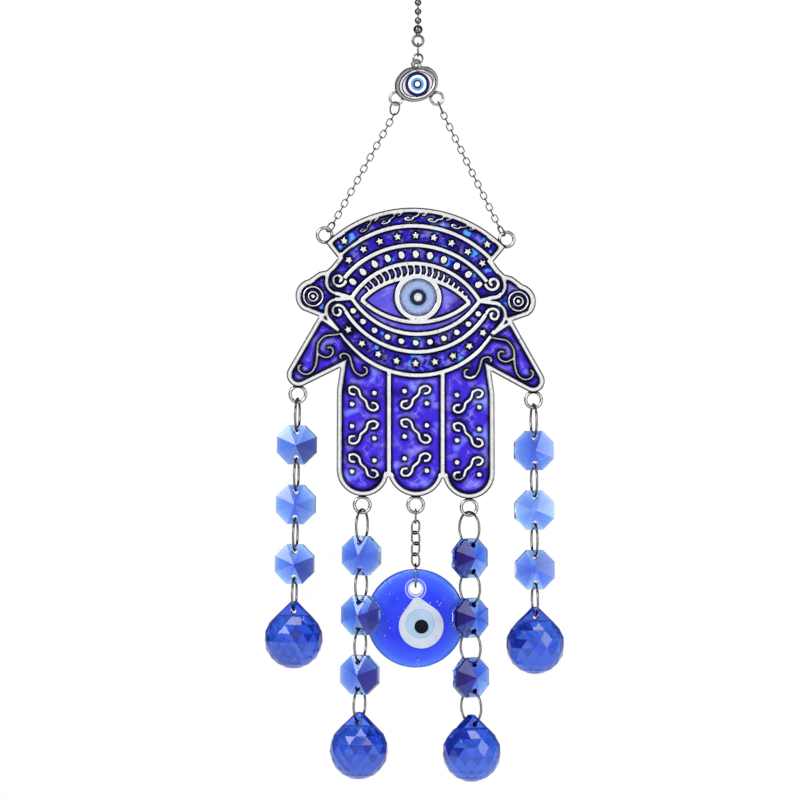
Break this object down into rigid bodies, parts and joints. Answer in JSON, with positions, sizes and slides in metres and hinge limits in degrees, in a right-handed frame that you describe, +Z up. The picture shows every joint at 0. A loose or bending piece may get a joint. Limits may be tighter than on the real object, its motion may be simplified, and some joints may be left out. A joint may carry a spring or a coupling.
{
  "type": "hamsa suncatcher",
  "caption": "Hanging ornament: a cast hand with enamel eye, hung from a bead chain and an eye charm on cable chains, with glass bead strands and a glass eye disc below",
  "frame": {"origin": "centre of the hanging ring's hole", "axes": "+Z up along the hanging line, +X to the viewer's right, -Y toward the viewer (the enamelled front)"},
  "size_m": [0.1072, 0.021, 0.3044],
  "materials": {
    "hang_ring": "dark steel wire",
    "upper_coupling": "bright nickel plating",
    "chain_balls": "bright nickel plating",
    "chain_pins": "dark steel wire",
    "lower_coupling": "bright nickel plating",
    "link_ring": "dark steel wire",
    "charm_frame": "bright antique silver plating",
    "charm_eye": "navy glass with rings",
    "charm_pupil": "white, blue and black rings",
    "left_upper_ring": "dark steel wire",
    "left_chain_links": "dark steel wire",
    "left_lower_ring": "dark steel wire",
    "right_upper_ring": "dark steel wire",
    "right_chain_links": "dark steel wire",
    "right_lower_ring": "dark steel wire",
    "hand_plate": "bright antique silver plating",
    "enamel_bands": "translucent ultramarine enamel",
    "enamel_eye": "translucent ultramarine enamel",
    "enamel_palm": "translucent ultramarine enamel",
    "iris_glass": "grey-blue foiled glass",
    "pupil_stone": "black, glittering",
    "eye_long_link": "dark steel wire",
    "eye_curb_links": "dark steel wire",
    "eye_closing_ring": "dark steel wire",
    "eye_disc": "cobalt glass",
    "eye_white": "opaque white glass",
    "eye_blue": "pale-blue glass",
    "eye_pupil": "black glass",
    "left_thumb_ring_1": "dark steel wire",
    "left_thumb_ring_2": "dark steel wire",
    "left_thumb_ring_3": "dark steel wire",
    "left_thumb_ring_4": "dark steel wire",
    "left_finger_ring_1": "dark steel wire",
    "left_finger_ring_2": "dark steel wire",
    "left_finger_ring_3": "dark steel wire",
    "left_finger_ring_4": "dark steel wire",
    "right_finger_ring_1": "dark steel wire",
    "right_finger_ring_2": "dark steel wire",
    "right_finger_ring_3": "dark steel wire",
    "right_finger_ring_4": "dark steel wire",
    "right_thumb_ring_1": "dark steel wire",
    "right_thumb_ring_2": "dark steel wire",
    "right_thumb_ring_3": "dark steel wire",
    "right_thumb_ring_4": "dark steel wire",
    "left_thumb_bead_1": "clear cornflower-blue cut glass",
    "left_thumb_bead_2": "clear cornflower-blue cut glass",
    "left_thumb_bead_3": "clear cornflower-blue cut glass",
    "left_finger_bead_1": "clear cornflower-blue cut glass",
    "left_finger_bead_2": "clear cornflower-blue cut glass",
    "left_finger_bead_3": "clear cornflower-blue cut glass",
    "right_finger_bead_1": "clear cornflower-blue cut glass",
    "right_finger_bead_2": "clear cornflower-blue cut glass",
    "right_finger_bead_3": "clear cornflower-blue cut glass",
    "right_thumb_bead_1": "clear cornflower-blue cut glass",
    "right_thumb_bead_2": "clear cornflower-blue cut glass",
    "right_thumb_bead_3": "clear cornflower-blue cut glass",
    "left_thumb_ball": "clear sapphire-blue cut glass",
    "left_finger_ball": "clear sapphire-blue cut glass",
    "right_finger_ball": "clear sapphire-blue cut glass",
    "right_thumb_ball": "clear sapphire-blue cut glass"
  },
  "bodies": {
    "hanger": {"hang_ring": "hang_ring"},
    "upper_coupling": {"upper_coupling": "upper_coupling"},
    "ball_chain": {"chain_balls": "chain_balls", "chain_pins": "chain_pins"},
    "lower_coupling": {"lower_coupling": "lower_coupling"},
    "link_ring": {"link_ring": "link_ring"},
    "charm": {"charm_frame": "charm_frame", "charm_eye": "charm_eye", "charm_pupil": "charm_pupil"},
    "left_chain": {"left_upper_ring": "left_upper_ring", "left_chain_links": "left_chain_links", "left_lower_ring": "left_lower_ring"},
    "right_chain": {"right_upper_ring": "right_upper_ring", "right_chain_links": "right_chain_links", "right_lower_ring": "right_lower_ring"},
    "hand": {"hand_plate": "hand_plate", "enamel_bands": "enamel_bands", "enamel_eye": "enamel_eye", "enamel_palm": "enamel_palm", "iris_glass": "iris_glass", "pupil_stone": "pupil_stone"},
    "eye_chain": {"eye_long_link": "eye_long_link", "eye_curb_links": "eye_curb_links"},
    "closing_ring": {"eye_closing_ring": "eye_closing_ring"},
    "eye_disc": {"eye_disc": "eye_disc", "eye_white": "eye_white", "eye_blue": "eye_blue", "eye_pupil": "eye_pupil"},
    "left_thumb_ring_1": {"left_thumb_ring_1": "left_thumb_ring_1"},
    "left_thumb_bead_1": {"left_thumb_bead_1": "left_thumb_bead_1"},
    "left_thumb_ring_2": {"left_thumb_ring_2": "left_thumb_ring_2"},
    "left_thumb_bead_2": {"left_thumb_bead_2": "left_thumb_bead_2"},
    "left_thumb_ring_3": {"left_thumb_ring_3": "left_thumb_ring_3"},
    "left_thumb_bead_3": {"left_thumb_bead_3": "left_thumb_bead_3"},
    "left_thumb_ring_4": {"left_thumb_ring_4": "left_thumb_ring_4"},
    "left_thumb_ball": {"left_thumb_ball": "left_thumb_ball"},
    "left_finger_ring_1": {"left_finger_ring_1": "left_finger_ring_1"},
    "left_finger_bead_1": {"left_finger_bead_1": "left_finger_bead_1"},
    "left_finger_ring_2": {"left_finger_ring_2": "left_finger_ring_2"},
    "left_finger_bead_2": {"left_finger_bead_2": "left_finger_bead_2"},
    "left_finger_ring_3": {"left_finger_ring_3": "left_finger_ring_3"},
    "left_finger_bead_3": {"left_finger_bead_3": "left_finger_bead_3"},
    "left_finger_ring_4": {"left_finger_ring_4": "left_finger_ring_4"},
    "left_finger_ball": {"left_finger_ball": "left_finger_ball"},
    "right_finger_ring_1": {"right_finger_ring_1": "right_finger_ring_1"},
    "right_finger_bead_1": {"right_finger_bead_1": "right_finger_bead_1"},
    "right_finger_ring_2": {"right_finger_ring_2": "right_finger_ring_2"},
    "right_finger_bead_2": {"right_finger_bead_2": "right_finger_bead_2"},
    "right_finger_ring_3": {"right_finger_ring_3": "right_finger_ring_3"},
    "right_finger_bead_3": {"right_finger_bead_3": "right_finger_bead_3"},
    "right_finger_ring_4": {"right_finger_ring_4": "right_finger_ring_4"},
    "right_finger_ball": {"right_finger_ball": "right_finger_ball"},
    "right_thumb_ring_1": {"right_thumb_ring_1": "right_thumb_ring_1"},
    "right_thumb_bead_1": {"right_thumb_bead_1": "right_thumb_bead_1"},
    "right_thumb_ring_2": {"right_thumb_ring_2": "right_thumb_ring_2"},
    "right_thumb_bead_2": {"right_thumb_bead_2": "right_thumb_bead_2"},
    "right_thumb_ring_3": {"right_thumb_ring_3": "right_thumb_ring_3"},
    "right_thumb_bead_3": {"right_thumb_bead_3": "right_thumb_bead_3"},
    "right_thumb_ring_4": {"right_thumb_ring_4": "right_thumb_ring_4"},
    "right_thumb_ball": {"right_thumb_ball": "right_thumb_ball"}
  },
  "joints": [
    {"name": "coupling_swing", "type": "hinge", "parent": "hanger", "child": "upper_coupling", "pos_m": [0, 0, -0.00886], "axis": [1, 0, 0], "range_deg": [-40, 40]},
    {"name": "chain_spin", "type": "hinge", "parent": "upper_coupling", "child": "ball_chain", "pos_m": [0, 0, -0.01367], "axis": [0, 0, 1], "continuous": true},
    {"name": "lower_spin", "type": "hinge", "parent": "ball_chain", "child": "lower_coupling", "pos_m": [0, 0, -0.02972], "axis": [0, 0, 1], "continuous": true},
    {"name": "link_swing", "type": "hinge", "parent": "lower_coupling", "child": "link_ring", "pos_m": [0, 0, -0.03555], "axis": [1, 0, 0], "range_deg": [-40, 40]},
    {"name": "charm_sway", "type": "hinge", "parent": "link_ring", "child": "charm", "pos_m": [0, 0, -0.03923], "axis": [0, 1, 0], "range_deg": [-20, 20]},
    {"name": "left_chain_swing", "type": "hinge", "parent": "charm", "child": "left_chain", "pos_m": [-0.00781, 0, -0.05643], "axis": [1, 0, 0], "range_deg": [-15, 15]},
    {"name": "right_chain_swing", "type": "hinge", "parent": "charm", "child": "right_chain", "pos_m": [0.00673, 0, -0.05643], "axis": [1, 0, 0], "range_deg": [-15, 15]},
    {"name": "hand_swing", "type": "hinge", "parent": "left_chain", "child": "hand", "pos_m": [-0.03178, 0, -0.10103], "axis": [0.9997, 0, -0.0231], "range_deg": [-8, 8]},
    {"name": "left_thumb_ring_1_swing", "type": "hinge", "parent": "hand", "child": "left_thumb_ring_1", "pos_m": [-0.04292, 0, -0.16272], "axis": [0.9998, 0, -0.0175], "range_deg": [-20, 20]},
    {"name": "left_thumb_bead_1_sway", "type": "hinge", "parent": "left_thumb_ring_1", "child": "left_thumb_bead_1", "pos_m": [-0.04315, 0, -0.17322], "axis": [0.1045, 0.9945, -0.0018], "range_deg": [-1, 10]},
    {"name": "left_thumb_ring_2_turn", "type": "hinge", "parent": "left_thumb_bead_1", "child": "left_thumb_ring_2", "pos_m": [-0.04342, 0, -0.18866], "axis": [0.9944, -0.1045, -0.0174], "range_deg": [-12, 12]},
    {"name": "left_thumb_bead_2_sway", "type": "hinge", "parent": "left_thumb_ring_2", "child": "left_thumb_bead_2", "pos_m": [-0.04352, 0, -0.19451], "axis": [0.1045, 0.9945, -0.0018], "range_deg": [-1, 10]},
    {"name": "left_thumb_ring_3_turn", "type": "hinge", "parent": "left_thumb_bead_2", "child": "left_thumb_ring_3", "pos_m": [-0.04379, 0, -0.20995], "axis": [0.9944, -0.1045, -0.0174], "range_deg": [-12, 12]},
    {"name": "left_thumb_bead_3_sway", "type": "hinge", "parent": "left_thumb_ring_3", "child": "left_thumb_bead_3", "pos_m": [-0.0439, 0, -0.2158], "axis": [0.1045, 0.9945, -0.0018], "range_deg": [-1, 10]},
    {"name": "left_thumb_ring_4_turn", "type": "hinge", "parent": "left_thumb_bead_3", "child": "left_thumb_ring_4", "pos_m": [-0.04416, 0, -0.23124], "axis": [0.9944, -0.1045, -0.0174], "range_deg": [-12, 12]},
    {"name": "left_thumb_ball_sway", "type": "hinge", "parent": "left_thumb_ring_4", "child": "left_thumb_ball", "pos_m": [-0.04427, 0, -0.23709], "axis": [0.1045, 0.9945, -0.0018], "range_deg": [-4, 12]},
    {"name": "left_finger_ring_1_swing", "type": "hinge", "parent": "hand", "child": "left_finger_ring_1", "pos_m": [-0.01991, 0, -0.20226], "axis": [0.9999, 0, -0.014], "range_deg": [-20, 0]},
    {"name": "left_finger_bead_1_sway", "type": "hinge", "parent": "left_finger_ring_1", "child": "left_finger_bead_1", "pos_m": [-0.0201, 0, -0.21277], "axis": [0.342, 0.9397, -0.0048], "range_deg": [0, 10]},
    {"name": "left_finger_ring_2_turn", "type": "hinge", "parent": "left_finger_bead_1", "child": "left_finger_ring_2", "pos_m": [-0.02031, 0, -0.22821], "axis": [0.9396, -0.342, -0.0131], "range_deg": [-12, 0]},
    {"name": "left_finger_bead_2_sway", "type": "hinge", "parent": "left_finger_ring_2", "child": "left_finger_bead_2", "pos_m": [-0.0204, 0, -0.23406], "axis": [0.342, 0.9397, -0.0048], "range_deg": [0, 10]},
    {"name": "left_finger_ring_3_turn", "type": "hinge", "parent": "left_finger_bead_2", "child": "left_finger_ring_3", "pos_m": [-0.02061, 0, -0.2495], "axis": [0.9396, -0.342, -0.0131], "range_deg": [-12, 0]},
    {"name": "left_finger_bead_3_sway", "type": "hinge", "parent": "left_finger_ring_3", "child": "left_finger_bead_3", "pos_m": [-0.02069, 0, -0.25535], "axis": [0.342, 0.9397, -0.0048], "range_deg": [0, 10]},
    {"name": "left_finger_ring_4_turn", "type": "hinge", "parent": "left_finger_bead_3", "child": "left_finger_ring_4", "pos_m": [-0.02091, 0, -0.27079], "axis": [0.9396, -0.342, -0.0131], "range_deg": [-12, 0]},
    {"name": "left_finger_ball_sway", "type": "hinge", "parent": "left_finger_ring_4", "child": "left_finger_ball", "pos_m": [-0.02099, 0, -0.27664], "axis": [0.342, 0.9397, -0.0048], "range_deg": [-12, 12]},
    {"name": "right_finger_ring_1_swing", "type": "hinge", "parent": "hand", "child": "right_finger_ring_1", "pos_m": [0.01825, 0, -0.20318], "axis": [0.9999, 0, 0.0105], "range_deg": [-20, 0]},
    {"name": "right_finger_bead_1_sway", "type": "hinge", "parent": "right_finger_ring_1", "child": "right_finger_bead_1", "pos_m": [0.01839, 0, -0.21369], "axis": [-0.5878, 0.809, -0.0062], "range_deg": [-10, 0]},
    {"name": "right_finger_ring_2_turn", "type": "hinge", "parent": "right_finger_bead_1", "child": "right_finger_ring_2", "pos_m": [0.01855, 0, -0.22913], "axis": [0.809, 0.5878, 0.0085], "range_deg": [-12, 0]},
    {"name": "right_finger_bead_2_sway", "type": "hinge", "parent": "right_finger_ring_2", "child": "right_finger_bead_2", "pos_m": [0.01861, 0, -0.23498], "axis": [-0.5878, 0.809, -0.0062], "range_deg": [-10, 0]},
    {"name": "right_finger_ring_3_turn", "type": "hinge", "parent": "right_finger_bead_2", "child": "right_finger_ring_3", "pos_m": [0.01877, 0, -0.25042], "axis": [0.809, 0.5878, 0.0085], "range_deg": [-12, 0]},
    {"name": "right_finger_bead_3_sway", "type": "hinge", "parent": "right_finger_ring_3", "child": "right_finger_bead_3", "pos_m": [0.01883, 0, -0.25627], "axis": [-0.5878, 0.809, -0.0062], "range_deg": [-10, 0]},
    {"name": "right_finger_ring_4_turn", "type": "hinge", "parent": "right_finger_bead_3", "child": "right_finger_ring_4", "pos_m": [0.019, 0, -0.27171], "axis": [0.809, 0.5878, 0.0085], "range_deg": [-12, 0]},
    {"name": "right_finger_ball_sway", "type": "hinge", "parent": "right_finger_ring_4", "child": "right_finger_ball", "pos_m": [0.01906, 0, -0.27756], "axis": [-0.5878, 0.809, -0.0062], "range_deg": [-12, 12]},
    {"name": "right_thumb_ring_1_swing", "type": "hinge", "parent": "hand", "child": "right_thumb_ring_1", "pos_m": [0.04126, 0, -0.16474], "axis": [1, 0, 0.007], "range_deg": [-20, 20]},
    {"name": "right_thumb_bead_1_sway", "type": "hinge", "parent": "right_thumb_ring_1", "child": "right_thumb_bead_1", "pos_m": [0.04135, 0, -0.17525], "axis": [-0.1392, 0.9903, -0.001], "range_deg": [-10, 1]},
    {"name": "right_thumb_ring_2_turn", "type": "hinge", "parent": "right_thumb_bead_1", "child": "right_thumb_ring_2", "pos_m": [0.04146, 0, -0.19069], "axis": [0.9902, 0.1392, 0.0069], "range_deg": [-12, 12]},
    {"name": "right_thumb_bead_2_sway", "type": "hinge", "parent": "right_thumb_ring_2", "child": "right_thumb_bead_2", "pos_m": [0.0415, 0, -0.19654], "axis": [-0.1392, 0.9903, -0.001], "range_deg": [-10, 1]},
    {"name": "right_thumb_ring_3_turn", "type": "hinge", "parent": "right_thumb_bead_2", "child": "right_thumb_ring_3", "pos_m": [0.04161, 0, -0.21198], "axis": [0.9902, 0.1392, 0.0069], "range_deg": [-12, 12]},
    {"name": "right_thumb_bead_3_sway", "type": "hinge", "parent": "right_thumb_ring_3", "child": "right_thumb_bead_3", "pos_m": [0.04165, 0, -0.21783], "axis": [-0.1392, 0.9903, -0.001], "range_deg": [-10, 1]},
    {"name": "right_thumb_ring_4_turn", "type": "hinge", "parent": "right_thumb_bead_3", "child": "right_thumb_ring_4", "pos_m": [0.04175, 0, -0.23327], "axis": [0.9902, 0.1392, 0.0069], "range_deg": [-12, 12]},
    {"name": "right_thumb_ball_sway", "type": "hinge", "parent": "right_thumb_ring_4", "child": "right_thumb_ball", "pos_m": [0.0418, 0, -0.23912], "axis": [-0.1392, 0.9903, -0.001], "range_deg": [-12, 4]},
    {"name": "eye_chain_swing", "type": "hinge", "parent": "hand", "child": "eye_chain", "pos_m": [-0.00083, 0, -0.20221], "axis": [1, 0, 0], "range_deg": [0, 20]},
    {"name": "closing_ring_swing", "type": "hinge", "parent": "eye_chain", "child": "closing_ring", "pos_m": [-0.00083, 0.0047, -0.22166], "axis": [1, 0, 0], "range_deg": [0, 20]},
    {"name": "eye_disc_sway", "type": "hinge", "parent": "closing_ring", "child": "eye_disc", "pos_m": [-0.00083, 0.0047, -0.22902], "axis": [0, 1, 0], "range_deg": [0, 1.5]}
  ],
  "couplings": [
    {"joint": "right_chain_swing", "follows": "left_chain_swing", "ratio": 1}
  ]
}
